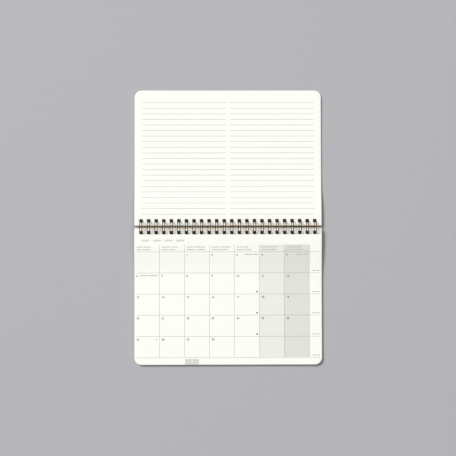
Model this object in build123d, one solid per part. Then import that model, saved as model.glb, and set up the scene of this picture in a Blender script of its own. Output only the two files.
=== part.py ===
from build123d import *
import os
from math import atan, cos, degrees, radians, sin, sqrt

# A wire-bound desk calendar lying open flat, in millimetres.
# X runs along the binding, +Y towards the turned leaves, +Z up.
# The origin is on the desk, under the middle of the binding.

# Leaves and covers
PAGE_WIDTH = 210.0
PAGE_HEIGHT = 152.5
CORNER_RADIUS = 8.0
COVER_THICKNESS = 0.6
TURNED_THICKNESS = 1.7
REMAINING_THICKNESS = 3.3
STACK_AIR = 0.1
BINDING_GAP = 3.2

# Binding wire: three loops to the inch, as many as the page is wide
LOOP_PITCH = 25.4 / 3
LOOP_OUTSIDE = 14.3
LOOP_WIDTH = 2.4
WIRE_DIAMETER = 0.9
WIRE_SIDES = 6
RING_CHORDS = 12
BEND_LENGTH = 0.7
SEAM_GAP = 1.0

# Fits between the wire and the punched holes
RING_CLEARANCE = 0.28
SIDE_CLEARANCE = 0.28
CLOSED_GAP = 0.9

# The ease of each sheet from the rings down to the desk
SHOULDER_MARGIN = 1.4
EASE_LENGTH = 50.0

# Ring worked out from the wire: straight chords whose mean radius is the real ring's
LOOP_COUNT = int(PAGE_WIDTH // LOOP_PITCH)
RING_RADIUS = (LOOP_OUTSIDE - WIRE_DIAMETER) / 2
BEND_ANGLE = degrees(BEND_LENGTH / RING_RADIUS)
SEAM_ANGLE = degrees((SEAM_GAP + WIRE_DIAMETER) / RING_RADIUS)
CHORD_ANGLE = (360 - SEAM_ANGLE - 2 * BEND_ANGLE) / RING_CHORDS
CHORD_RATIO = cos(radians(CHORD_ANGLE / 2))
VERTEX_RADIUS = 2 * RING_RADIUS / (1 + CHORD_RATIO)
FLAT_RADIUS = VERTEX_RADIUS * CHORD_RATIO
AXIS_HEIGHT = FLAT_RADIUS + WIRE_DIAMETER / 2
WIRE_CORNERS = WIRE_DIAMETER / cos(radians(180 / WIRE_SIDES))

# Sheets worked out from the ring: how high they stand on it, and where the holes are
COVER_STEP = COVER_THICKNESS + STACK_AIR
CLOSED_THICKNESS = 2 * COVER_STEP + TURNED_THICKNESS + REMAINING_THICKNESS
SHEET_RISE = AXIS_HEIGHT - (CLOSED_THICKNESS + CLOSED_GAP) / 2
INNER_EDGE = BINDING_GAP / 2
OUTER_EDGE = INNER_EDGE + PAGE_HEIGHT
HOLE_REACH = FLAT_RADIUS - WIRE_DIAMETER / 2 - RING_CLEARANCE
HOLE_INNER = sqrt(HOLE_REACH**2 - (AXIS_HEIGHT - SHEET_RISE) ** 2)
HOLE_SIDE = LOOP_WIDTH + WIRE_CORNERS + 2 * SIDE_CLEARANCE
SHOULDER = HOLE_INNER + HOLE_SIDE + SHOULDER_MARGIN
EASE_ANGLE = degrees(2 * atan(SHEET_RISE / EASE_LENGTH))
EASE_RADIUS = EASE_LENGTH / (2 * sin(radians(EASE_ANGLE)))


def sheet_line(lift):
    """The line of a sheet's face: level on the rings, then two tangent arcs down, then flat."""
    level = Line((INNER_EDGE, SHEET_RISE + lift), (SHOULDER, SHEET_RISE + lift))
    down = JernArc(level @ 1, level % 1, EASE_RADIUS, -EASE_ANGLE)
    out = JernArc(down @ 1, down % 1, EASE_RADIUS, EASE_ANGLE)
    flat = Line(out @ 1, (OUTER_EDGE, lift))
    return Curve() + [level, down, out, flat]


def sheet(lift, thickness):
    """A cover or a stack of leaves on the +Y side, its lower face raised by lift."""
    lower = sheet_line(lift)
    upper = sheet_line(lift + thickness)
    inner = Line(lower @ 0, upper @ 0)
    outer = Line(lower @ 1, upper @ 1)
    profile = make_face(Plane.YZ * (Curve() + [lower, upper, inner, outer]))
    body = extrude(profile, PAGE_WIDTH / 2, both=True)
    corners = body.edges().filter_by(Axis.Z).group_by(Axis.Y)[-1]
    body = fillet(corners, CORNER_RADIUS)
    hole = Rectangle(HOLE_SIDE, HOLE_SIDE, align=(Align.CENTER, Align.MIN))
    holes = Sketch() + GridLocations(LOOP_PITCH, 0, LOOP_COUNT, 1) * hole
    row = Plane.XY.offset(SHEET_RISE + lift) * Pos(0, HOLE_INNER)
    return body - extrude(row * holes, thickness)


def on_ring(x, angle):
    """A point of the ring's chords, by its angle from the bottom towards +Y."""
    turn = radians(angle)
    return Vector(x, VERTEX_RADIUS * sin(turn), AXIS_HEIGHT - VERTEX_RADIUS * cos(turn))


def hairpin(x):
    """The points of one loop: up one leg, round the tip and back down the other leg."""
    left = x - LOOP_WIDTH / 2
    right = x + LOOP_WIDTH / 2
    angles = [(step - 0.5) * CHORD_ANGLE for step in range(RING_CHORDS + 1)]
    tip = angles[-1] + BEND_ANGLE
    out = [on_ring(left, angle) for angle in angles]
    across = [on_ring(left + BEND_LENGTH, tip), on_ring(right - BEND_LENGTH, tip)]
    back = [on_ring(right, angle) for angle in reversed(angles)]
    return out + across + back


def base_bar(x):
    """The points of the bar that joins the loop at x to the next one."""
    base = -CHORD_ANGLE / 2 - BEND_ANGLE
    near = x + LOOP_WIDTH / 2 + BEND_LENGTH
    far = x + LOOP_PITCH - LOOP_WIDTH / 2 - BEND_LENGTH
    return [on_ring(near, base), on_ring(far, base)]


def twin_loop_wire():
    """One wire, bent into loops, with a mitre at every bend."""
    first = -(LOOP_COUNT - 1) * LOOP_PITCH / 2
    points = hairpin(first)
    for index in range(1, LOOP_COUNT):
        x = first + index * LOOP_PITCH
        points += base_bar(x - LOOP_PITCH) + hairpin(x)
    section = RegularPolygon(WIRE_DIAMETER / 2, WIRE_SIDES, major_radius=False)
    start = Plane(origin=points[0], x_dir=(1, 0, 0), z_dir=points[1] - points[0])
    return sweep(start * section, Polyline(*points), transition=Transition.RIGHT)


front_cover = sheet(0, COVER_THICKNESS)
parts = {
    "front_cover": front_cover,
    "back_cover": mirror(front_cover, about=Plane.XZ),
    "turned_leaves": sheet(COVER_STEP, TURNED_THICKNESS),
    "remaining_leaves": mirror(sheet(COVER_STEP, REMAINING_THICKNESS), about=Plane.XZ),
    "twin_loop_wire": twin_loop_wire(),
}

os.makedirs("parts", exist_ok=True)
for name, solid in parts.items():
    export_step(solid, f"parts/{name}.step")
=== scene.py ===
"""Dresses a wire-bound desk calendar that lies open: leaves, covers, binding wire and printing."""

import logging
import math
from dataclasses import dataclass, field, replace
from enum import Enum
from typing import Sequence

import bmesh
import bpy
import numpy as np
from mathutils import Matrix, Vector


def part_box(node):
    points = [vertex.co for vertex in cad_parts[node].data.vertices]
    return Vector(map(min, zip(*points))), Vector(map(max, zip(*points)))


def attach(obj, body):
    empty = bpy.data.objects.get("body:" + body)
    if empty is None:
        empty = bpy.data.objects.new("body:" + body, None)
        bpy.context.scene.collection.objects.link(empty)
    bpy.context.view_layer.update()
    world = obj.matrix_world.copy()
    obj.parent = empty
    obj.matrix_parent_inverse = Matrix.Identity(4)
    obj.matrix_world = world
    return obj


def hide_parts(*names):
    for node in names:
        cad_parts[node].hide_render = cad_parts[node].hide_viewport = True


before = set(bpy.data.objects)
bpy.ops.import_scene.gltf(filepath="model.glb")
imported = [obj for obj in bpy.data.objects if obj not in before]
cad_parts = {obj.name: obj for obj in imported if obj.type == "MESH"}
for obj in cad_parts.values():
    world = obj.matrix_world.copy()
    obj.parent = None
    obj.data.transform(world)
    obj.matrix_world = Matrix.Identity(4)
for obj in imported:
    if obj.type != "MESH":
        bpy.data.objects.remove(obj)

Array = np.ndarray
Values = Array | float
Pair = tuple[float, float]
Triple = tuple[float, float, float]
Socket = bpy.types.NodeSocket

MM = 0.001
SMOOTH_ANGLE = math.radians(32)  # edges that turn further than this stay sharp
LOOP_PITCH = 25.4 / 3 * MM  # three loops to the inch
LOOP_COUNT = 24
NOISE_MEAN = 0.5
log = logging.getLogger("desk_calendar")


class Side(Enum):
    """The side of the binding that a sheet lies on, as the sign of Y."""

    TURNED = 1
    REMAINING = -1


class Slot(Enum):
    """Names of material slots."""

    PAPER = "leaf_paper"
    CARD = "cover_card"
    WIRE = "binding_wire"


class Face(Enum):
    """The face of a stack that is printed on, as the sign of its normal."""

    TOP = 1
    UNDER = -1


class Shelf(Enum):
    """Which finish of its stack a face takes."""

    FACE = 0
    EDGE = 1
    PUNCH = 2
    SPINE = 3


@dataclass
class Shape:
    """A mesh held in whole arrays."""

    points: Array  # places in metres, a row for each point
    corners: Array  # point numbers of all the faces, one face after the other
    sizes: Array  # number of corners of each face
    finish: Array  # finish number of each face

    @staticmethod
    def of(points: Array, *groups: Array, finish: Array | int = 0) -> "Shape":
        """Makes a shape of groups of faces, where the faces of a group have equally many corners.

        Args:
            points: places of the points, three numbers each.
            *groups: point numbers, a row for each face.
            finish: finish number of each face, or one number for all.

        Returns:
            The new shape.
        """
        corners = np.concatenate([group.ravel() for group in groups])
        sizes = np.concatenate([np.full(len(group), group.shape[1]) for group in groups])
        return Shape(points.reshape(-1, 3), corners, sizes, np.broadcast_to(finish, sizes.shape))

    @staticmethod
    def joined(shapes: Sequence["Shape"], counted: bool = False) -> "Shape":
        """Puts several shapes into one, each after the last.

        Args:
            shapes: the shapes to put together.
            counted: whether their point numbers already count the shapes before them.

        Returns:
            One shape with all their points and faces.
        """
        starts = np.cumsum([0] + [len(shape.points) for shape in shapes[:-1]]) * (not counted)
        return Shape(
            np.concatenate([shape.points for shape in shapes]),
            np.concatenate([shape.corners + start for shape, start in zip(shapes, starts)]),
            np.concatenate([shape.sizes for shape in shapes]),
            np.concatenate([shape.finish for shape in shapes]),
        )

    @staticmethod
    def read(mesh: bpy.types.Mesh, grain: float = 0.001 * MM) -> "Shape":
        """Reads a mesh, once its doubled points are merged and its faces turned outwards.

        Args:
            mesh: the mesh to read.
            grain: distance within which two points lie in one place.

        Returns:
            Its shape, with one finish.
        """
        merged = bmesh.new()
        merged.from_mesh(mesh)
        bmesh.ops.remove_doubles(merged, verts=merged.verts, dist=grain)
        bmesh.ops.dissolve_degenerate(merged, edges=merged.edges, dist=grain)
        bmesh.ops.recalc_face_normals(merged, faces=merged.faces)
        merged.to_mesh(mesh)
        merged.free()
        points = np.empty(len(mesh.vertices) * 3)
        corners = np.empty(len(mesh.loops), dtype=np.int32)
        sizes = np.empty(len(mesh.polygons), dtype=np.int32)
        mesh.vertices.foreach_get("co", points)
        mesh.loops.foreach_get("vertex_index", corners)
        mesh.polygons.foreach_get("loop_total", sizes)
        return Shape(points.reshape(-1, 3), corners, sizes, np.zeros_like(sizes))

    def mesh(self, name: str) -> bpy.types.Mesh:
        """Puts the arrays into a new mesh, smooth but for its sharp edges.

        Args:
            name: the mesh's name.

        Returns:
            The new mesh, without materials.
        """
        mesh = bpy.data.meshes.new(name)
        mesh.vertices.add(len(self.points))
        mesh.loops.add(len(self.corners))
        mesh.polygons.add(len(self.sizes))
        mesh.vertices.foreach_set("co", self.points.ravel())
        mesh.loops.foreach_set("vertex_index", self.corners.astype(np.int32))
        mesh.polygons.foreach_set("loop_start", (np.cumsum(self.sizes) - self.sizes).astype(np.int32))
        mesh.polygons.foreach_set("material_index", self.finish.astype(np.int32))
        mesh.polygons.foreach_set("use_smooth", np.ones(len(self.sizes), dtype=bool))
        mesh.update(calc_edges=True)
        mesh.set_sharp_from_angle(angle=SMOOTH_ANGLE)
        return mesh


def loop_places() -> Array:
    """Places of the wire's loops, and of the holes for them, along X: even steps about the middle."""
    return (np.arange(LOOP_COUNT) - (LOOP_COUNT - 1) / 2) * LOOP_PITCH


def strip_quads(index: Array, close: bool) -> Array:
    """Quads between the rows of a grid of point numbers.

    Args:
        index: point numbers, a row for each ring of points.
        close: whether the last column joins the first.

    Returns:
        Four point numbers for each quad, facing out where rows rise anticlockwise.
    """
    near = index
    far = np.roll(index, -1, axis=1)
    if not close:
        near, far = near[:, :-1], far[:, :-1]
    return np.stack([near[:-1], far[:-1], far[1:], near[1:]], axis=-1).reshape(-1, 4)


def grid_rim(index: Array) -> Array:
    """The point numbers round a grid: along the first row, up the last column, and back."""
    return np.concatenate([index[0, :-1], index[:-1, -1], index[-1, :0:-1], index[:0:-1, 0]])


def boxes(left: Values, foot: Values, right: Values, head: Values) -> Array:
    """Rectangles in a page, in rows of left, foot, right and head."""
    return np.stack(np.broadcast_arrays(left, foot, right, head), axis=-1).reshape(-1, 4)


class NodeKit:
    """Short calls for putting shader nodes together."""

    def __init__(self, tree: bpy.types.NodeTree) -> None:
        """Starts an empty tree, for a material, a group or the world."""
        self.tree = tree
        tree.nodes.clear()

    def add(
        self, kind: str, options: dict | None = None, operands: Sequence = (), **inputs: object
    ) -> bpy.types.Node:
        """Adds a node, sets its options and fills its inputs: a socket is linked, a value is set.

        Args:
            kind: the node's type name.
            options: options of the node, by name.
            operands: what its first inputs take, in order.
            **inputs: what other inputs take, by name, with _ for a space.

        Returns:
            The new node.
        """
        node = self.tree.nodes.new(kind)
        for key, value in (options or {}).items():
            setattr(node, key, value)
        named = [(node.inputs[key.replace("_", " ")], value) for key, value in inputs.items()]
        for socket, value in [*zip(node.inputs, operands), *named]:
            if isinstance(value, Socket):
                self.tree.links.new(value, socket)
            else:
                socket.default_value = value
        return node

    def maths(self, operation: str, *operands: object) -> Socket:
        """The value of a Math node, whose operands are sockets or numbers."""
        return self.add("ShaderNodeMath", {"operation": operation}, operands).outputs["Value"]

    def swing(self, noise: Socket, span: object, middle: float = 1.0) -> Socket:
        """Noise set about another middle: (noise - its mean) times span, plus middle."""
        return self.maths("MULTIPLY_ADD", self.maths("SUBTRACT", noise, NOISE_MEAN), span, middle)

    def noise(self, vector: Socket, scale: float, detail: float) -> Socket:
        """Fractal noise at a scale, with a number of finer octaves."""
        return self.add("ShaderNodeTexNoise", Vector=vector, Scale=scale, Detail=detail).outputs["Fac"]

    def tinted(self, colour: Triple, shade: Socket) -> Socket:
        """A plain colour multiplied by a shade that changes over the surface."""
        node = self.add("ShaderNodeVectorMath", {"operation": "SCALE"}, [colour], Scale=shade)
        return node.outputs["Vector"]


class SharedEffect:
    """A pattern that materials share, as a node group with named inputs and outputs."""

    NAME = ""
    SOCKETS = (
        ("Vector", "INPUT", "NodeSocketVector"),
        ("Contrast", "INPUT", "NodeSocketFloat"),
        ("Shade", "OUTPUT", "NodeSocketFloat"),
        ("Height", "OUTPUT", "NodeSocketFloat"),
    )

    @classmethod
    def group(cls) -> bpy.types.NodeTree:
        """The group, built at its first use."""
        return bpy.data.node_groups.get(cls.NAME) or cls.build()

    @classmethod
    def build(cls) -> bpy.types.NodeTree:
        """Builds the group: the pattern's height as it is, and its tone as a shade about one.

        Returns:
            The new node group.
        """
        tree = bpy.data.node_groups.new(cls.NAME, "ShaderNodeTree")
        for name, way, kind in cls.SOCKETS:
            tree.interface.new_socket(name, in_out=way, socket_type=kind)
        kit = NodeKit(tree)
        given = kit.add("NodeGroupInput")
        height, tone = cls.pattern(kit, given.outputs["Vector"])
        shade = kit.swing(tone, given.outputs["Contrast"])
        kit.add("NodeGroupOutput", Shade=shade, Height=height)
        return tree

    @classmethod
    def pattern(cls, kit: NodeKit, vector: Socket) -> tuple[Socket, Socket]:
        """Height and tone of the pattern, both about the noise's mean; each effect has its own."""
        raise NotImplementedError(cls.NAME)


class FibreEffect(SharedEffect):
    """The cloudy tone and the felted fibres of paper and card."""

    NAME = "paper_fibre"
    CLOUD_SCALE = 95.0
    CLOUD_DETAIL = 3.0
    CLOUD_SHARE = 0.6
    FIBRE_SCALE = (700.0, 4200.0, 700.0)
    FIBRE_DETAIL = 2.0
    FIBRE_TURNS = (0.0, math.radians(67))

    @classmethod
    def pattern(cls, kit: NodeKit, vector: Socket) -> tuple[Socket, Socket]:
        """The mean of two layers of drawn-out noise as the height, with a share of clouds as the tone.

        Args:
            kit: the group's node kit.
            vector: coordinates to read.

        Returns:
            Height and tone.
        """
        layers = []
        for turn in cls.FIBRE_TURNS:
            place = kit.add(
                "ShaderNodeMapping", Vector=vector, Rotation=(0.0, 0.0, turn), Scale=cls.FIBRE_SCALE
            )
            layers.append(kit.noise(place.outputs["Vector"], 1.0, cls.FIBRE_DETAIL))
        height = kit.maths("MULTIPLY", kit.maths("ADD", *layers), 1 / len(layers))
        cloud = kit.noise(vector, cls.CLOUD_SCALE, cls.CLOUD_DETAIL)
        tone = kit.add("ShaderNodeMix", Factor=cls.CLOUD_SHARE, A=height, B=cloud)
        return height, tone.outputs["Result"]


class GrainEffect(SharedEffect):
    """The even fine grain of a matt coating."""

    NAME = "fine_grain"
    SCALE = 900.0
    DETAIL = 4.0

    @classmethod
    def pattern(cls, kit: NodeKit, vector: Socket) -> tuple[Socket, Socket]:
        """One noise as height and tone."""
        grain = kit.noise(vector, cls.SCALE, cls.DETAIL)
        return grain, grain


@dataclass(frozen=True)
class Finish:
    """A surface whose tone, gloss and relief follow one pattern. The usual values are plain paper's."""

    name: str
    colour: Triple  # linear
    contrast: float = 0.05  # how far the shade swings
    roughness: float = 0.86
    unevenness: float = 0.2  # how far the roughness swings
    relief: float = 0.012 * MM
    specular: float = 0.3
    metallic: float = 0.0
    effect: type[SharedEffect] = FibreEffect

    def material(self) -> bpy.types.Material:
        """The material, built at its first use."""
        return bpy.data.materials.get(self.name) or self.build()

    def build(self) -> bpy.types.Material:
        """Builds the material on Object coordinates.

        Returns:
            The new material.
        """
        made = bpy.data.materials.new(self.name)
        made.use_nodes = True
        kit = NodeKit(made.node_tree)
        place = kit.add("ShaderNodeTexCoord").outputs["Object"]
        group = {"node_tree": self.effect.group()}
        pattern = kit.add("ShaderNodeGroup", group, Vector=place, Contrast=self.contrast)
        height = pattern.outputs["Height"]
        bump = kit.add("ShaderNodeBump", Height=height, Distance=self.relief, Strength=1.0)
        shader = kit.add(
            "ShaderNodeBsdfPrincipled",
            Base_Color=kit.tinted(self.colour, pattern.outputs["Shade"]),
            Roughness=kit.swing(height, self.unevenness, self.roughness),
            Metallic=self.metallic,
            Specular_IOR_Level=self.specular,
            Normal=bump.outputs["Normal"],
        )
        kit.add("ShaderNodeOutputMaterial", Surface=shader.outputs["BSDF"])
        return made


# Leaves and covers, each in the order of the shelves
CREAM_PAPER = Finish("cream_paper", (0.90, 0.90, 0.835), contrast=0.07, relief=0.02 * MM)
PAPER_EDGE = Finish("cream_paper_edge", (0.80, 0.785, 0.70), contrast=0.12)
# Hole walls: near black, painted shade that stands in for the deep shadow inside the punched holes; the
# real walls are cream paper
PUNCH_EDGE_SHADE = Finish("punch_edge_painted_shade", (0.055, 0.046, 0.036), contrast=0.3)
# Binding-side leaf edges: cream darkened to brown, painted shade for the shadowed, warmly lit gap
# between the two stacks
BINDING_EDGE_SHADE = Finish("binding_edge_painted_shade", (0.68, 0.59, 0.46), contrast=0.2)
LEAF_FINISHES = (CREAM_PAPER, PAPER_EDGE, PUNCH_EDGE_SHADE, BINDING_EDGE_SHADE)
CARD_FACE = Finish(
    "charcoal_card", (0.028, 0.028, 0.031), contrast=0.5, roughness=0.62, relief=0.03 * MM, specular=0.4
)
CARD_EDGE = Finish(
    "charcoal_card_edge", (0.06, 0.058, 0.056), contrast=0.5, roughness=0.85, relief=0.03 * MM
)
COVER_FINISHES = (CARD_FACE, CARD_EDGE, CARD_EDGE, CARD_EDGE)

# Steel wire with a dark bronze coating, a little uneven in gloss
BRONZE_WIRE = Finish(
    "dark_bronze_wire", (0.080, 0.052, 0.028), contrast=0.5, roughness=0.42, unevenness=0.21,
    relief=0.005 * MM, metallic=0.9, effect=GrainEffect,
)

# Inks and tints
LINE_INK = Finish("line_ink", (0.27, 0.27, 0.255), contrast=0.2)
FIGURE_INK = Finish("figure_ink", (0.12, 0.12, 0.12), contrast=0.2)
WORD_INK = Finish("word_ink", (0.48, 0.48, 0.455), contrast=0.1)
SATURDAY_TINT = Finish("saturday_tint", (0.783, 0.783, 0.725))
SUNDAY_TINT = Finish("sunday_tint", (0.697, 0.697, 0.642))
THUMB_TINT = Finish("thumb_tint", (0.642, 0.642, 0.602))

FLOOR_GREY = Finish("floor_grey", (0.42, 0.42, 0.44), contrast=0.02, roughness=0.8)


def new_object(name: str, data: bpy.types.ID) -> bpy.types.Object:
    """Puts a new object into the scene.

    Args:
        name: its name.
        data: its mesh, curve, light or camera.

    Returns:
        The new object.
    """
    made = bpy.data.objects.new(name, data)
    bpy.context.scene.collection.objects.link(made)
    return made


def dressed(name: str, shape: Shape, finishes: Sequence[Finish]) -> bpy.types.Object:
    """Makes a mesh object of a shape, with its finishes.

    Args:
        name: its name.
        shape: its points and faces, in the calendar's frame.
        finishes: its finishes, in the order of the shape's finish numbers.

    Returns:
        The new object.
    """
    mesh = shape.mesh(name)
    for finish in finishes:
        mesh.materials.append(finish.material())
    log.info("%s: %d points, %d faces", name, len(mesh.vertices), len(mesh.polygons))
    return new_object(name, mesh)


def place_piece(
    name: str, shape: Shape, finishes: Sequence[Finish], body: str, node: str = ""
) -> None:
    """Makes a piece of the calendar and lets it ride on a body.

    Args:
        name: the piece's name.
        shape: its points and faces, in the calendar's frame.
        finishes: its finishes, in the order of the shape's finish numbers.
        body: the moving body that carries it.
        node: the solid that it stands for, if any.
    """
    piece = dressed(name, shape, finishes)
    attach(piece, body)
    if node:
        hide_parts(node)


@dataclass(frozen=True)
class SheetProfile:
    """The line that every sheet follows: level on the rings, an ease down, then flat on the desk."""

    inner: float  # the inner edge, from the binding's axis
    outer: float  # the free edge
    rise: float  # the level part, above the flat part
    shoulder: float = 10.0 * MM  # where the ease starts
    ease: float = 50.0 * MM

    def height(self, reach: Array) -> Array:
        """Height above the flat part: two equal arcs meet half way along the ease.

        The first arc falls from the level part by R - sqrt(R^2 - s^2), and the second rises from the
        flat part in the same way, where s is the distance from that end of the ease.

        Args:
            reach: distances from the binding's axis.

        Returns:
            The heights, in metres.
        """
        angle = 2 * math.atan(self.rise / self.ease)
        radius = self.ease / (2 * math.sin(angle))
        run = np.clip(reach - self.shoulder, 0, self.ease)
        half = self.ease / 2
        fall = radius - np.sqrt(radius**2 - np.minimum(run, half) ** 2)
        climb = radius - np.sqrt(radius**2 - np.minimum(self.ease - run, half) ** 2)
        return np.where(run < half, self.rise - fall, climb)


@dataclass(frozen=True)
class PunchRow:
    """The row of holes along the binding."""

    inner: float  # the holes' near side, from the binding's axis
    depth: float
    width: float


@dataclass
class SheetStack:
    """A cover or a stack of leaves: plies with rounded outer corners, punched along the binding."""

    node: str  # the solid that it stands for, and the body that carries it
    side: Side
    profile: SheetProfile
    punch: PunchRow
    plies: int
    finishes: Sequence[Finish]
    slot: Slot
    width: float
    bottom: float  # height of the flat underside
    thickness: float
    lip: float = 0.12 * MM  # how far the cut edges stand out past the broad faces' outline
    slack: float = 0.08 * MM  # how far a leaf may lie askew
    curl: Pair = (0.0, 0.0)  # lift of the top leaf's free corners, at its left and right
    curl_powers: tuple[int, int] = (4, 6)  # how steeply they lift, across the page and out
    ring: Pair | None = None  # radius and axis height of the rings, or none for a lone sheet
    play: float = 1.6  # how far the fan of leaves opens, against the rings' own curve
    seed: int = 7
    corner_radius: float = 8.0 * MM
    edge_round: float = 0.16  # share of a leaf's thickness in which its edge rounds off, at each face
    ease_rows: int = 50
    flat_rows: int = 30
    corner_rows: int = 12

    def build(self) -> None:
        """Makes the stack and puts it in the place of its solid."""
        place_piece(f"{self.node}_sheets", self.shape(), self.finishes, self.node, self.node)

    def level(self, face: Face) -> float:
        """Height of a broad face above the underside."""
        return self.thickness if face is Face.TOP else 0.0

    def height(self, x: Array, y: Array, face: Face) -> Array:
        """Height of the top or the underside at points of the frame."""
        return self.surface(self.side.value * x, np.abs(y), self.level(face))

    def offset(self, face: Face) -> float:
        """How far along Y the leaf of a broad face lies from the top leaf."""
        return self.side.value * self.drift(self.level(face))

    def surface(self, across: Array, reach: Array, level: Values) -> Array:
        """Height of the stack at a level between its underside and its top.

        The level is added to the sheet's line. The free corners lift with powers of the shares of the
        way across and of the way out, and with the square of the level's share of the thickness.

        Args:
            across: distances from the middle of the page, positive to the right of the free edge.
            reach: distances from the binding's axis.
            level: height above the underside.

        Returns:
            The heights, in metres.
        """
        sideways = np.clip(across / (self.width / 2), -1, 1)
        outwards = np.clip(reach / self.profile.outer, 0, 1)
        side_power, out_power = self.curl_powers
        lift = np.where(sideways < 0, *self.curl) * sideways**side_power * outwards**out_power
        share = np.asarray(level) / self.thickness
        return self.bottom + self.profile.height(reach) + level + lift * share**2

    def drift(self, level: Values) -> Values:
        """How far a leaf lies out from the binding, against the top leaf.

        The leaves hang fanned on the rings: each is as far out as the ring is at its height, which is
        sqrt(R^2 - h^2), where h is its height above or below the rings' axis, and the holes' play lets
        the fan open somewhat further.

        Args:
            level: height above the underside.

        Returns:
            The shifts, none above zero.
        """
        if self.ring is None:
            return 0.0 * level
        radius, axis = self.ring
        low = self.bottom + self.profile.rise - axis
        top = low + self.thickness
        return self.play * (np.sqrt(radius**2 - (low + level) ** 2) - math.sqrt(radius**2 - top**2))

    def rows(self) -> Array:
        """The grid's rows: both sides of the holes, then the ease, the flat part and the free corners.

        Returns:
            Their distances from the binding's axis.
        """
        line = self.profile
        far = self.punch.inner + self.punch.depth + self.lip
        punched = [line.inner + self.lip, self.punch.inner - self.lip, far, line.shoulder]
        flat_start = line.shoulder + line.ease
        corner = line.outer - self.corner_radius
        ease = np.linspace(line.shoulder, flat_start, self.ease_rows + 1)[1:]
        flat = np.linspace(flat_start, corner, self.flat_rows + 1)[1:]
        turn = np.linspace(0, math.pi / 2, self.corner_rows + 1)[1:]
        rounded = corner + (self.corner_radius - self.lip) * np.sin(turn)
        return np.concatenate([punched, ease, flat, rounded])

    def outline(self) -> tuple[Array, Array]:
        """The grid's places in the page, drawn in at the rounded corners.

        Its columns are the page's edges and both sides of every hole.

        Returns:
            Distances across and along the page, each with a row for each grid row.
        """
        half_hole = self.punch.width / 2 + self.lip
        holes = loop_places()[:, None] + np.array([-half_hole, half_hole])
        half_page = self.width / 2 - self.lip
        columns = np.concatenate([[-half_page], holes.ravel(), [half_page]])
        rows = self.rows()
        past = np.clip(rows - (self.profile.outer - self.corner_radius), 0, None)
        turn = np.sqrt(np.clip((self.corner_radius - self.lip) ** 2 - past**2, 0, None))
        half = self.width / 2 - self.corner_radius + turn
        across = half[:, None] * (columns / half_page)
        return across, np.broadcast_to(rows[:, None], across.shape)

    def levels(self) -> tuple[Array, Array, Array]:
        """The wall's steps up through the plies, with a groove between leaves.

        Returns:
            Height of each step, how far it stands out, and its leaf's shift in the page.
        """
        ply = self.thickness / self.plies
        shares = np.array([0.0, self.edge_round, 1 - self.edge_round])
        steps = np.arange(self.plies)[:, None] * ply + shares * ply
        out = np.tile([0.0, self.lip, self.lip], self.plies)
        draw = np.random.default_rng(self.seed)
        shift = draw.uniform(-self.slack, self.slack, (self.plies, 2))
        shift[-1] = 0
        askew = np.repeat(shift, len(shares), axis=0) * (out > 0)[:, None]
        still = np.zeros((1, 2))
        return np.append(steps, self.thickness), np.append(out, 0.0), np.append(askew, still, axis=0)

    def wall(self, loop: Array, flat: Array, first: int, shelf: Array | int) -> Shape:
        """A wall of leaf edges round a closed loop of the grid.

        Each step of the wall is the loop moved out along its normal and askew with its leaf. The first
        and last steps are the loops of the underside and of the top.

        Args:
            loop: point numbers of the loop in the grid, with the material on its left.
            flat: places of all grid points in the page.
            first: number of the wall's first new point.
            shelf: finish number of each stretch of the loop, or one number for all.

        Returns:
            The wall's new points and its faces.
        """
        height, out, askew = self.levels()
        rim = flat[loop]
        along = np.roll(rim, -1, axis=0) - np.roll(rim, 1, axis=0)
        normal = np.stack([along[:, 1], -along[:, 0]], axis=1)
        normal /= np.linalg.norm(normal, axis=1, keepdims=True)
        askew[:, 1] += self.drift(height)
        spread = rim + out[1:-1, None, None] * normal + askew[1:-1, None, :]
        z = self.surface(spread[..., 0], spread[..., 1], height[1:-1, None])
        points = np.concatenate([spread, z[..., None]], axis=-1).reshape(-1, 3)
        inner = first + np.arange(len(points)).reshape(spread.shape[:2])
        index = np.concatenate([loop[None], inner, loop[None] + len(flat)])
        finish = np.broadcast_to(shelf, (len(index) - 1, len(loop)))
        return Shape.of(points, strip_quads(index, close=True), finish=finish.ravel())

    def broad_faces(self, flat: Array, index: Array) -> Shape:
        """The underside and the top, without the holes: every second cell of the grid's second row.

        Args:
            flat: places of all grid points in the page.
            index: their numbers in the grid.

        Returns:
            Both faces, the underside first.
        """
        low = flat + (0.0, self.drift(0.0))
        under = np.column_stack([low, self.surface(*low.T, 0.0)])
        over = np.column_stack([flat, self.surface(*flat.T, self.thickness)])
        solid = np.ones(np.subtract(index.shape, 1), dtype=bool)
        solid[1, 1::2] = False
        quads = strip_quads(index, close=False)[solid.ravel()]
        faces = (quads[:, ::-1], quads + len(flat))
        return Shape.of(np.stack([under, over]), *faces, finish=Shelf.FACE.value)

    def cut_loops(self, index: Array) -> list[tuple[Array, Array | int]]:
        """The loops that walls stand on: the grid's rim, then one round every hole.

        Args:
            index: point numbers in the grid.

        Returns:
            Point numbers and finish numbers of each loop.
        """
        rim = grid_rim(index)
        spine = np.arange(len(rim)) < index.shape[1] - 1
        # The rim along the binding takes the spine finish, which on leaves is painted shade
        edges = np.where(spine, Shelf.SPINE.value, Shelf.EDGE.value)
        near, far = index[1:3, 1:-1].reshape(2, -1, 2)
        holes = np.column_stack([near[:, 0], far, near[:, 1]])
        # The hole walls take the punch finish, which is painted shade
        return [(rim, edges), *((hole, Shelf.PUNCH.value) for hole in holes)]

    def shape(self) -> Shape:
        """The whole stack: underside, top, outer wall and the walls of the holes.

        Returns:
            A closed shape in the calendar's frame.
        """
        across, reach = self.outline()
        flat = np.stack([across.ravel(), reach.ravel()], axis=1)
        index = np.arange(across.size).reshape(across.shape)
        shapes = [self.broad_faces(flat, index)]
        first = len(shapes[0].points)
        for loop, shelf in self.cut_loops(index):
            shapes.append(self.wall(loop, flat, first, shelf))
            first += len(shapes[-1].points)
        whole = Shape.joined(shapes, counted=True)
        whole.points[:, :2] *= self.side.value
        return whole


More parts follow.
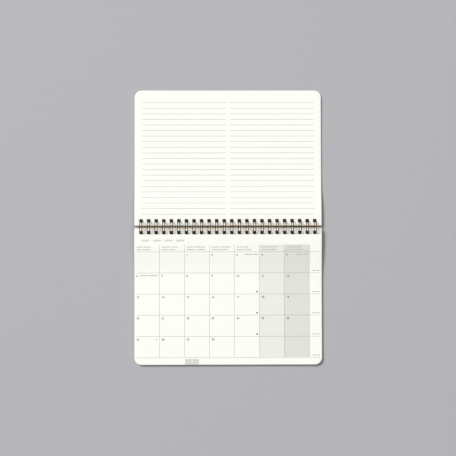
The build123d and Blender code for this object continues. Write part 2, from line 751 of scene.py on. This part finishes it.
@dataclass
class BindingWire:
    """One round wire bent into hairpin loops and closed into rings."""

    node: str = "twin_loop_wire"  # the solid that it stands for
    loop_width: float = 2.4 * MM  # from leg to leg
    diameter: float = 0.9 * MM
    seam: float = 1.0 * MM  # clear gap between the loops' tips and the base bars
    base_back: float = 1.8 * MM  # the base bars, behind the bottom of the rings
    base_bend: float = 1.1 * MM  # radius of the bends between legs and base bars
    leg_steps: int = 44
    bend_steps: int = 8  # points along a quarter circle
    sides: int = 12

    def build(self) -> None:
        """Makes the wire and puts it in the place of its solid."""
        place_piece("binding_wire_loops", self.shape(), [BRONZE_WIRE], "binding", self.node)

    def ring(self) -> Pair:
        """The rings' centreline radius and the height of their axis, from the solid's box."""
        low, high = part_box(self.node)
        return (high.z - low.z - self.diameter) / 2, (high.z + low.z) / 2

    def unrolled(self, radius: float) -> Array:
        """The wire's line on the ring's unrolled face: across X, and the distance along the ring.

        A loop is a leg out, a half circle round its tip and a leg back, and a base bar with two quarter
        circles leads to the next loop. The bottom of the ring is at distance zero.

        Args:
            radius: the ring's centreline radius.

        Returns:
            Points, as X and the distance round the ring.
        """
        half = self.loop_width / 2
        base = -self.base_back
        tip = base - self.seam - self.diameter + 2 * math.pi * radius
        legs = np.linspace(base + self.base_bend, tip - half, self.leg_steps)
        turn = np.linspace(0, math.pi, 2 * self.bend_steps + 1)[1:-1]
        quarter = np.linspace(0, math.pi / 2, self.bend_steps + 1)[1:]
        out = np.column_stack([np.full_like(legs, -half), legs])
        cap = np.column_stack([-half * np.cos(turn), tip - half + half * np.sin(turn)])
        back = np.column_stack([np.full_like(legs, half), legs[::-1]])
        bend = np.column_stack([1 - np.cos(quarter), 1 - np.sin(quarter)])
        leave = (half, base) + self.base_bend * bend
        arrive = np.column_stack([LOOP_PITCH - leave[::-1, 0], leave[::-1, 1]])
        loop = np.concatenate([out, cap, back, leave, arrive])
        shift = np.column_stack([loop_places(), np.zeros(LOOP_COUNT)])
        line = (shift[:, None, :] + loop[None]).reshape(-1, 2)
        return line[: len(line) - len(arrive)]

    def shape(self) -> Shape:
        """Carries a round section along the line, wound on the ring.

        The section's two axes are the ring's own radius and the cross product of that radius with the
        line's direction, so it never twists.

        Returns:
            A closed tube in the calendar's frame.
        """
        radius, axis = self.ring()
        line = self.unrolled(radius)
        angle = line[:, 1] / radius
        outward = np.column_stack([np.zeros_like(angle), np.sin(angle), -np.cos(angle)])
        centre = np.column_stack([line[:, 0], radius * outward[:, 1], axis + radius * outward[:, 2]])
        along = np.gradient(centre, axis=0)
        across = np.cross(outward, along)
        across /= np.linalg.norm(across, axis=1, keepdims=True)
        turn = np.arange(self.sides) * 2 * math.pi / self.sides
        rim = outward[:, None] * np.cos(turn)[:, None] + across[:, None] * np.sin(turn)[:, None]
        points = (centre[:, None] + self.diameter / 2 * rim).reshape(-1, 3)
        index = np.arange(len(points)).reshape(len(centre), self.sides)
        walls = strip_quads(index, close=True)[:, ::-1]
        return Shape.of(points, walls, np.stack([index[0], index[-1, ::-1]]))


@dataclass
class Printing:
    """Ink on the outer leaf of a stack, as thin closed shapes that follow the paper.

    A page is laid out as it lies when it faces up. The underside is that page turned over the binding.
    """

    page: str  # name that the page's pieces start with
    stack: SheetStack
    face: Face = Face.TOP
    film: float = 0.012 * MM  # how far the ink stands above the paper
    keyed: float = 0.02 * MM  # how far it reaches into the paper
    weight: float = 0.022  # extra weight of the figures, as a share of their size
    curve_steps: int = 3
    end_sides: int = 20  # sides that the two round ends of a bar are drawn with

    def lay(self, x: Array, y: Array, rise: Values) -> Array:
        """Points at a height above the printed face, half a turn about X away for the underside.

        They lie on the face's own leaf, which hangs somewhat nearer to the binding than the top one.

        Args:
            x: places across the page.
            y: places along the page, as it lies when it faces up.
            rise: heights above the paper.

        Returns:
            The points in the calendar's frame.
        """
        turned = self.face.value * y + self.stack.offset(self.face)
        z = self.stack.height(x, turned, self.face) + self.face.value * rise
        return np.stack(np.broadcast_arrays(x, turned, z), axis=-1)

    def slab(self, x: Array, y: Array, film: float = 1.0) -> Array:
        """The points of slabs of ink: in the paper, then at a share of the film's height above it."""
        return np.stack([self.lay(x, y, -self.keyed), self.lay(x, y, self.film * film)], axis=1)

    def patches(self, places: Array, across: int = 1, along: int = 1, film: float = 1.0) -> Shape:
        """Rectangles of ink, each a closed slab on an even grid that follows the paper.

        Args:
            places: the rectangles, as boxes gives them.
            across: divisions along X.
            along: divisions along Y.
            film: height of the ink, as a share of the usual.

        Returns:
            All the slabs as one shape.
        """
        left, foot, right, head = places.T[:, :, None, None]
        x = left + (right - left) * np.linspace(0, 1, across + 1)
        y = foot + (head - foot) * np.linspace(0, 1, along + 1)[:, None]
        count = (across + 1) * (along + 1)
        index = np.arange(count).reshape(along + 1, across + 1)
        rim = grid_rim(index)
        top = strip_quads(index, close=False)
        sides = strip_quads(np.stack([rim, rim + count]), close=True)
        one = np.concatenate([top[:, ::-1], top + count, sides])
        quads = np.arange(len(places))[:, None, None] * 2 * count + one
        return Shape.of(self.slab(x, y, film), quads.reshape(-1, 4))

    def bars(self, places: Array) -> Shape:
        """Bars of ink with round ends, which are dots where they are no longer than high.

        The outline is a circle as high as the bar, with its right half moved on to the right end. Its
        points stand half a step off the split.

        Args:
            places: the rectangles that the bars fill, as boxes gives them.

        Returns:
            All the bars as one shape.
        """
        left, foot, right, head = places.T[:, :, None]
        radius = (head - foot) / 2
        turn = (np.arange(self.end_sides) + 0.5) * 2 * math.pi / self.end_sides
        x = np.where(np.cos(turn) > 0, right - radius, left + radius) + radius * np.cos(turn)
        y = foot + radius + radius * np.sin(turn)
        points = self.slab(x, y)
        low, high = np.arange(points.size // 3).reshape(-1, 2, self.end_sides).transpose(1, 0, 2)
        walls = np.stack([low, np.roll(low, -1, axis=1), np.roll(high, -1, axis=1), high], axis=-1)
        return Shape.of(points, low[:, ::-1], high, walls.reshape(-1, 4))

    def figure(self, number: int, x: float, y: float, size: float) -> Shape:
        """A number set in plain type, laid on the paper.

        Args:
            number: the number.
            x: left side.
            y: foot of the figures.
            size: type size.

        Returns:
            The figures as closed shapes.
        """
        curve = bpy.data.curves.new("figure", "FONT")
        curve.body = str(number)
        curve.size = size
        curve.resolution_u = self.curve_steps
        curve.offset = self.weight * size
        curve.extrude = (self.film + self.keyed) / 2
        writer = new_object("figure", curve)
        bpy.context.view_layer.update()
        mesh = bpy.data.meshes.new_from_object(writer)
        flat = Shape.read(mesh)
        bpy.data.objects.remove(writer)
        bpy.data.curves.remove(curve)
        bpy.data.meshes.remove(mesh)
        middle = (self.film - self.keyed) / 2
        across, along, rise = (flat.points + (x, y, middle)).T
        return replace(flat, points=self.lay(across, along, rise))

    def place(self, what: str, ink: Finish, *shapes: Shape) -> None:
        """Puts shapes of one ink on the page as a piece."""
        place_piece(f"{self.page}_{what}", Shape.joined(shapes), [ink], self.stack.node)


@dataclass
class PrintLines:
    """Lines of small print, drawn as plain bars of uneven length."""

    seed: int = 11
    space: float = 0.9  # clear distance from bar to bar, in heights of a bar
    spread: float = 0.35  # how far the bars differ in length, as a share of an even one
    count: int = 2  # bars in a line
    draw: np.random.Generator = field(init=False)

    def __post_init__(self) -> None:
        """Seeds the lengths."""
        self.draw = np.random.default_rng(self.seed)

    def line(self, x: float, foot: float, width: float, height: float) -> Array:
        """The bars of one line, which fill its length but for the spaces.

        Args:
            x: left end of the line.
            foot: foot of the line.
            width: length of the line.
            height: height of a bar.

        Returns:
            The rectangles that the bars fill.
        """
        gap = self.space * height
        share = self.draw.uniform(1 - self.spread, 1 + self.spread, self.count)
        lengths = share / share.sum() * (width - (self.count - 1) * gap)
        ends = x + np.cumsum(lengths + gap) - gap
        return boxes(ends - lengths, foot, ends, foot + height)


@dataclass
class NotesPage:
    """The lined page: two columns of thin rules."""

    printing: Printing
    first: float = 13.8 * MM  # the first rule, from the free edge
    pitch: float = 6.3 * MM
    count: int = 21
    columns: tuple[Pair, ...] = ((-96.6 * MM, -2.0 * MM), (2.2 * MM, 97.0 * MM))
    stroke: float = 0.30 * MM
    steps: int = 24

    def build(self) -> None:
        """Prints the rules."""
        top = self.printing.stack.profile.outer - self.first
        y = top - np.arange(self.count)[:, None] * self.pitch
        left, right = np.transpose(self.columns)
        places = boxes(left, y - self.stroke / 2, right, y + self.stroke / 2)
        self.printing.place("rules", LINE_INK, self.printing.patches(places, self.steps))


@dataclass(frozen=True)
class MonthGrid:
    """Where the lines of a month page run, as it lies when it faces up."""

    page_width: float
    edge: float  # the free edge's place along Y
    first_line: float = -76.95 * MM  # the first upright line
    column: float = 28.0 * MM  # width of a column
    columns: int = 7
    row: float = 23.7 * MM  # height of a row of days
    rows: int = 5
    foot_margin: float = 7.8 * MM  # the lowest line, from the free edge
    heading: float = 8.0 * MM  # height of the row of headings

    @property
    def levels(self) -> Array:
        """Places of the level lines, from the lowest up."""
        return self.edge + self.foot_margin + np.arange(self.rows + 1) * self.row

    @property
    def uprights(self) -> Array:
        """Places of the upright lines, each on the right of its column."""
        return self.first_line + np.arange(self.columns) * self.column

    @property
    def lefts(self) -> Array:
        """Left sides of the columns, the first of which begins at the page's own edge."""
        return np.maximum(self.uprights - self.column, -self.page_width / 2)

    @property
    def head(self) -> float:
        """Upper end of the upright lines."""
        return self.levels[-1] + self.heading


@dataclass
class MonthPart:
    """A part of a month page, which knows where it is printed and where the page's lines run."""

    printing: Printing
    grid: MonthGrid


@dataclass
class DayTable(MonthPart):
    """The table of days: two tinted columns, thin lines, day numbers and dots for the moon."""

    days: int
    first_day: int  # column of the first day, from zero
    ends: Pair = (-103.0 * MM, 102.6 * MM)  # of the level lines
    stroke: float = 0.30 * MM
    level_steps: int = 48
    upright_steps: int = 120
    upright_film: float = 0.8  # share of the usual height of ink
    tint_lift: float = 0.7 * MM  # the tinted columns' foot, above the lowest line
    tint_film: float = 0.5
    tint_steps: int = 8
    figure_size: float = 3.3 * MM
    figure_inset: float = 2.2 * MM  # from the left side of its cell
    figure_drop: float = 4.45 * MM  # foot of a number, below its cell's upper line
    dot_column: int = 4
    dot_lines: tuple[int, ...] = (1, 2, 3)  # level lines that the dots stand on
    dot_inset: float = 2.6 * MM  # a dot's middle, from the right side and foot of its cell
    dot_radius: float = 0.95 * MM
    small_dot_cell: tuple[int, int] = (0, 1)  # column of the small dot, and the level line above it
    small_dot_inset: float = 3.45 * MM  # its middle, from the right side and head of its cell
    small_dot_radius: float = 0.6 * MM

    def build(self) -> None:
        """Prints the table, from the tints up."""
        first, second = self.grid.lefts[-2:]
        self.tint("saturday", SATURDAY_TINT, first)
        self.tint("sunday", SUNDAY_TINT, second)
        self.lines()
        self.numbers()
        self.dots()

    def tint(self, day: str, ink: Finish, left: float) -> None:
        """One tinted column of the week's end.

        Args:
            day: the day's name.
            ink: its tint.
            left: left side of its column.
        """
        foot = self.grid.levels[0] + self.tint_lift
        place = boxes(left, foot, left + self.grid.column, self.grid.head)
        patch = self.printing.patches(place, self.tint_steps, self.upright_steps, self.tint_film)
        self.printing.place(day, ink, patch)

    def lines(self) -> None:
        """The thin lines: the upright ones lie a little lower, under the level ones."""
        half = self.stroke / 2
        left, right = self.ends
        x, y = self.grid.uprights, self.grid.levels
        level = self.printing.patches(boxes(left, y - half, right, y + half), self.level_steps)
        columns = boxes(x - half, y[0], x + half, self.grid.head)
        upright = self.printing.patches(columns, along=self.upright_steps, film=self.upright_film)
        self.printing.place("grid", LINE_INK, level, upright)

    def numbers(self) -> None:
        """The day numbers, at the upper left of their cells."""
        shapes = []
        for day in range(1, self.days + 1):
            week, column = divmod(day - 1 + self.first_day, self.grid.columns)
            foot = self.grid.levels[self.grid.rows - week] - self.figure_drop
            left = self.grid.lefts[column] + self.figure_inset
            shapes.append(self.printing.figure(day, left, foot, self.figure_size))
        self.printing.place("numbers", FIGURE_INK, *shapes)

    def dots(self) -> None:
        """Dots at the lower right of three cells of a column, and a small one in another cell."""
        column, line = self.small_dot_cell
        feet = self.grid.levels[list(self.dot_lines)] + self.dot_inset
        sides = np.full(feet.shape, self.grid.uprights[self.dot_column] - self.dot_inset)
        x = np.append(sides, self.grid.uprights[column] - self.small_dot_inset)
        y = np.append(feet, self.grid.levels[line] - self.small_dot_inset)
        radius = np.append(np.full(feet.shape, self.dot_radius), self.small_dot_radius)
        places = boxes(x - radius, y - radius, x + radius, y + radius)
        self.printing.place("dots", FIGURE_INK, self.printing.bars(places))


@dataclass
class MonthText(MonthPart):
    """The small print of a month page, drawn as bars: its title, its headings and short notes."""

    bar: float = 0.95 * MM  # height of a bar
    inset: float = 2.2 * MM  # a heading, from the left side of its column
    heading_drops: Pair = (3.1 * MM, 6.1 * MM)  # its two lines, below the head of the grid
    heading_widths: tuple[tuple[float, ...], ...] = (
        (16.2, 18.3, 21.3, 21.6, 13.9, 18.0, 17.6),
        (16.2, 15.4, 20.6, 18.2, 17.0, 17.4, 19.0),
    )  # lengths of those two lines in each column, in millimetres
    title_start: float = -97.3 * MM
    title_lift: float = 3.65 * MM  # above the head of the grid
    title_step: float = 13.05 * MM
    title_bar: Pair = (9.2 * MM, 2.1 * MM)  # length and height of a bar of the title
    title_count: int = 4
    divider: float = 0.30 * MM  # thickness of the lines between the title's bars
    cell_notes: tuple[tuple[float, int, float], ...] = (
        (18.0, 5, 15.4), (76.6, 5, 14.0), (-98.6, 4, 19.8)
    )  # left end in millimetres, level line, and length in millimetres
    note_drop: float = 3.4 * MM  # such a note, below its level line
    week_note: Pair = (94.4 * MM, 8.3 * MM)  # left end and length of the notes beside the weeks
    week_lift: float = 2.1 * MM  # such a note, above its level line
    lines: PrintLines = field(default_factory=PrintLines)

    def build(self) -> None:
        """Prints title, headings and notes, in that order."""
        self.title()
        self.headings()
        self.notes()

    def title(self) -> None:
        """The title: pale bars with thin upright dividers half way between them."""
        width, height = self.title_bar
        foot = self.grid.head + self.title_lift
        lefts = self.title_start + np.arange(self.title_count) * self.title_step
        bars = self.printing.bars(boxes(lefts, foot, lefts + width, foot + height))
        middles = lefts[1:] - (self.title_step - width) / 2
        half = self.divider / 2
        dividers = self.printing.patches(boxes(middles - half, foot, middles + half, foot + height))
        self.printing.place("title", THUMB_TINT, bars, dividers)

    def headings(self) -> None:
        """Two lines of bars at the head of each column."""
        places = []
        for widths, drop in zip(self.heading_widths, self.heading_drops):
            for left, width in zip(self.grid.lefts + self.inset, widths):
                places.append(self.lines.line(left, self.grid.head - drop, width * MM, self.bar))
        self.printing.place("headings", WORD_INK, self.printing.bars(np.concatenate(places)))

    def notes(self) -> None:
        """Short lines of bars in three cells, and at the end of each week."""
        places = []
        for left, level, width in self.cell_notes:
            foot = self.grid.levels[level] - self.note_drop
            places.append(self.lines.line(left * MM, foot, width * MM, self.bar))
        left, width = self.week_note
        for foot in self.grid.levels[:-1] + self.week_lift:
            places.append(self.lines.line(left, foot, width, self.bar))
        self.printing.place("notes", WORD_INK, self.printing.bars(np.concatenate(places)))


@dataclass
class ThumbMark(MonthPart):
    """The tinted mark that runs off a month page's free edge, with the month's number left bare.

    Month by month, the marks step along the edge by their own width.
    """

    number: int
    first: float = -95.15 * MM  # left end of the first month's mark
    width: float = 15.6 * MM
    drop: float = 1.4 * MM  # its head, below the lowest level line
    film: float = 0.5  # share of the usual height of ink
    steps: int = 4
    figure_size: float = 3.3 * MM
    figure_half: float = 0.8 * MM  # half the width of the number
    figure_lift: float = 2.3 * MM  # the number's foot, above the mark's

    def build(self) -> None:
        """Prints the mark and its number."""
        left = self.first + (self.number - 1) * self.width
        low = self.grid.edge + self.printing.stack.lip
        place = boxes(left, low, left + self.width, self.grid.levels[0] - self.drop)
        mark = self.printing.patches(place, self.steps, film=self.film)
        start = left + self.width / 2 - self.figure_half
        number = self.printing.figure(self.number, start, low + self.figure_lift, self.figure_size)
        self.printing.place("thumb_mark", THUMB_TINT, mark)
        self.printing.place("thumb_number", CREAM_PAPER, number)


@dataclass
class MonthPage:
    """A month page: its table of days, its small print and its thumb mark."""

    printing: Printing
    number: int  # of the month
    days: int
    first_day: int  # column of the first day, from zero

    def build(self) -> None:
        """Prints the page, from the tints up."""
        stack = self.printing.stack
        grid = MonthGrid(page_width=stack.width, edge=-stack.profile.outer)
        DayTable(self.printing, grid, self.days, self.first_day).build()
        MonthText(self.printing, grid).build()
        ThumbMark(self.printing, grid, self.number).build()


@dataclass(frozen=True)
class SoftLight:
    """A square soft light that faces the calendar."""

    name: str
    place: Triple
    size: float
    power: float

    def build(self) -> None:
        """Hangs the light."""
        lamp = bpy.data.lights.new(self.name, "AREA")
        lamp.size = self.size
        lamp.energy = self.power
        holder = new_object(self.name, lamp)
        holder.location = self.place
        holder.rotation_euler = (-holder.location).to_track_quat("-Z", "Y").to_euler()


@dataclass
class Studio:
    """A pale floor, soft lights and the camera above the calendar."""

    view_width: float = 512.75 * MM  # width of the picture at the page
    distance: float = 1.2  # of the camera
    aim: Triple = (0.0, -1.14 * MM, 3.0 * MM)  # point of the page at the picture's middle
    tilt: Triple = (1.507, -0.621, -0.106)  # turns from looking straight down, in degrees
    floor_half: float = 12.0
    glow: float = 0.165  # strength of the even light from all round
    glow_colour: tuple[float, ...] = (1.0, 1.0, 1.0, 1.0)
    lights: tuple[SoftLight, ...] = (
        SoftLight("key_light", (-3.2, 3.2, 5.12), size=1.9, power=440.0),
        SoftLight("fill_light", (0.8, -0.8, 2.6), size=2.2, power=25.0),
    )

    def build(self) -> None:
        """Puts up floor, surroundings, lights and camera."""
        self.floor()
        self.surroundings()
        for light in self.lights:
            light.build()
        self.camera()

    def floor(self) -> None:
        """A plain pale floor under the calendar."""
        ends = np.array([-self.floor_half, self.floor_half])
        points = np.stack(np.meshgrid(ends, ends, 0.0), axis=-1)
        quad = strip_quads(np.arange(4).reshape(2, 2), close=False)
        floor = dressed("floor", Shape.of(points, quad), [FLOOR_GREY])

    def surroundings(self) -> None:
        """Even pale light from all round."""
        world = bpy.data.worlds.new("studio")
        world.use_nodes = True
        kit = NodeKit(world.node_tree)
        back = kit.add("ShaderNodeBackground", Color=self.glow_colour, Strength=self.glow)
        kit.add("ShaderNodeOutputWorld", Surface=back.outputs["Background"])
        bpy.context.scene.world = world
        bpy.context.scene.view_settings.view_transform = "Standard"

    def camera(self) -> None:
        """The camera above the page, with the turned leaves at the top of the picture."""
        lens = bpy.data.cameras.new("camera")
        lens.lens = lens.sensor_width * self.distance / self.view_width
        holder = new_object("camera", lens)
        holder.rotation_euler = np.radians(self.tilt)
        back = holder.rotation_euler.to_matrix().col[2] * self.distance
        holder.location = [start + step for start, step in zip(self.aim, back)]
        bpy.context.scene.camera = holder


@dataclass(frozen=True)
class LeafPlan:
    """What one stack of leaves has of its own."""

    node: str  # the solid that it stands for
    side: Side
    punch: PunchRow  # the holes of its top leaf
    curl: Pair  # lift of the top leaf's free corners, at its left and right
    seed: int  # of its leaves' places


@dataclass
class DeskCalendar:
    """The whole calendar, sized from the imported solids."""

    cover: float = 0.6 * MM  # thickness of a cover
    cover_punch: PunchRow = PunchRow(inner=4.6 * MM, depth=4.0 * MM, width=4.0 * MM)
    leaf: float = 0.115 * MM  # thickness of a leaf
    slide: float = 0.05 * MM  # how far the leaves have slid out on the rings
    turned: LeafPlan = LeafPlan(
        node="turned_leaves",
        side=Side.TURNED,
        punch=PunchRow(inner=5.2 * MM, depth=3.5 * MM, width=3.8 * MM),
        curl=(0.25 * MM, 0.4 * MM),
        seed=21,
    )
    remaining: LeafPlan = LeafPlan(
        node="remaining_leaves",
        side=Side.REMAINING,
        punch=PunchRow(inner=4.5 * MM, depth=3.6 * MM, width=3.8 * MM),
        curl=(0.45 * MM, 0.3 * MM),
        seed=22,
    )
    wire: BindingWire = field(default_factory=BindingWire)

    def __post_init__(self) -> None:
        """Reads the sheets' line and width from the front cover's box."""
        low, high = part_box("front_cover")
        self.profile = SheetProfile(inner=low.y, outer=high.y, rise=high.z - low.z - self.cover)
        self.width = high.x - low.x

    def board(self, node: str, side: Side) -> SheetStack:
        """A card cover of one ply.

        Args:
            node: the solid that it stands for.
            side: its side of the binding.

        Returns:
            The cover, not yet built.
        """
        low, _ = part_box(node)
        return SheetStack(
            node, side, self.profile, self.cover_punch, 1, COVER_FINISHES, Slot.CARD,
            self.width, low.z, self.cover, slack=0.0,
        )

    def stack(self, plan: LeafPlan) -> SheetStack:
        """A stack of leaves, with as many leaves as its solid is thick.

        Args:
            plan: what it has of its own.

        Returns:
            The stack, not yet built.
        """
        low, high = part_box(plan.node)
        thickness = high.z - low.z - self.profile.rise
        plies = round(thickness / self.leaf)
        inner, outer = self.profile.inner + self.slide, self.profile.outer + self.slide
        line = replace(self.profile, inner=inner, outer=outer)
        return SheetStack(
            plan.node, plan.side, line, plan.punch, plies, LEAF_FINISHES, Slot.PAPER,
            self.width, low.z, thickness, curl=plan.curl, ring=self.wire.ring(), seed=plan.seed,
        )

    def build(self) -> None:
        """Builds covers, leaves and wire, then prints a notes page and a month page on each stack."""
        self.board("front_cover", Side.TURNED).build()
        self.board("back_cover", Side.REMAINING).build()
        turned = self.stack(self.turned)
        remaining = self.stack(self.remaining)
        turned.build()
        remaining.build()
        self.wire.build()
        NotesPage(Printing("open_notes", turned)).build()
        NotesPage(Printing("last_notes", remaining, Face.UNDER)).build()
        MonthPage(Printing("open_month", remaining), number=4, days=30, first_day=2).build()
        MonthPage(Printing("first_month", turned, Face.UNDER), number=1, days=31, first_day=3).build()


def main() -> None:
    """Builds the calendar in its studio."""
    logging.basicConfig(level=logging.INFO, format="%(name)s %(message)s")
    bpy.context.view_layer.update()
    DeskCalendar().build()
    Studio().build()


if __name__ == "__main__":
    main()
